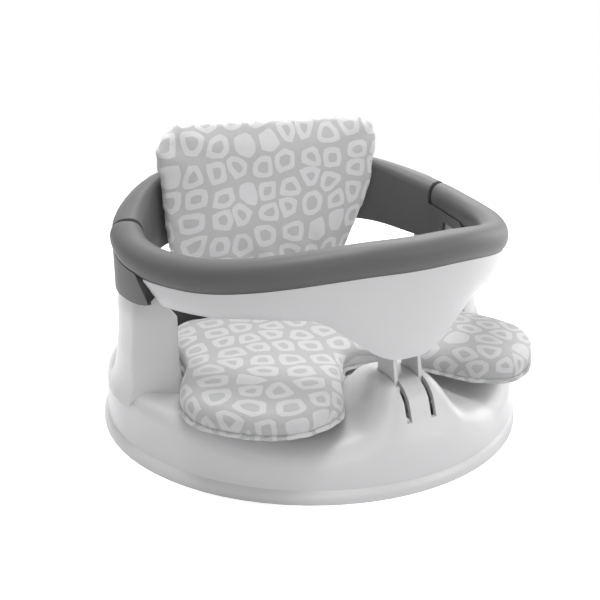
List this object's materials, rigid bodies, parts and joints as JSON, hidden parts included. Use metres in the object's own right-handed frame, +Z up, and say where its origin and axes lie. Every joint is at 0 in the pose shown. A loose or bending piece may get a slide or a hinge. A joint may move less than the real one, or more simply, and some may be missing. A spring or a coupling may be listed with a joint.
{
  "type": "baby floor seat",
  "caption": "Round floor seat for a baby: white drum base, grey padded ring, backrest, lobed seat cushion and a front guard that tips forward.",
  "frame": {"origin": "centre of the round base, on the floor", "axes": "+Z up, -Y to the front guard, +X to the right of a viewer who faces the front guard"},
  "size_m": [0.35, 0.35, 0.232],
  "materials": {
    "white_shell": "satin",
    "grey_shell": "matte",
    "cushion": "matte",
    "elastic": "matte",
    "steel": "satin",
    "cup_rubber": "satin"
  },
  "bodies": {
    "seat": {"base_shell": "white_shell", "post_left": "white_shell", "post_right": "white_shell", "rear_band": "grey_shell", "backrest_panel": "grey_shell", "hinge_pin": "steel", "pin_keeper_left": "white_shell", "pin_keeper_right": "white_shell", "suction_cup_front_left": "cup_rubber", "suction_cup_front_right": "cup_rubber", "suction_cup_rear_left": "cup_rubber", "suction_cup_rear_right": "cup_rubber", "seat_pad": "cushion", "back_pad": "cushion", "back_pad_strap": "elastic", "post_screws": "steel", "backrest_screws": "steel", "band_screws": "steel", "keeper_screws": "steel"},
    "guard": {"guard_rail": "grey_shell", "guard_apron": "white_shell", "guard_inner_panel": "white_shell", "guard_bracket": "white_shell", "guard_screws": "steel"}
  },
  "joints": [
    {"name": "guard_hinge", "type": "hinge", "parent": "seat", "child": "guard", "pos_m": [0, -0.134, 0.048], "axis": [1, 0, 0], "range_deg": [0, 60]}
  ]
}
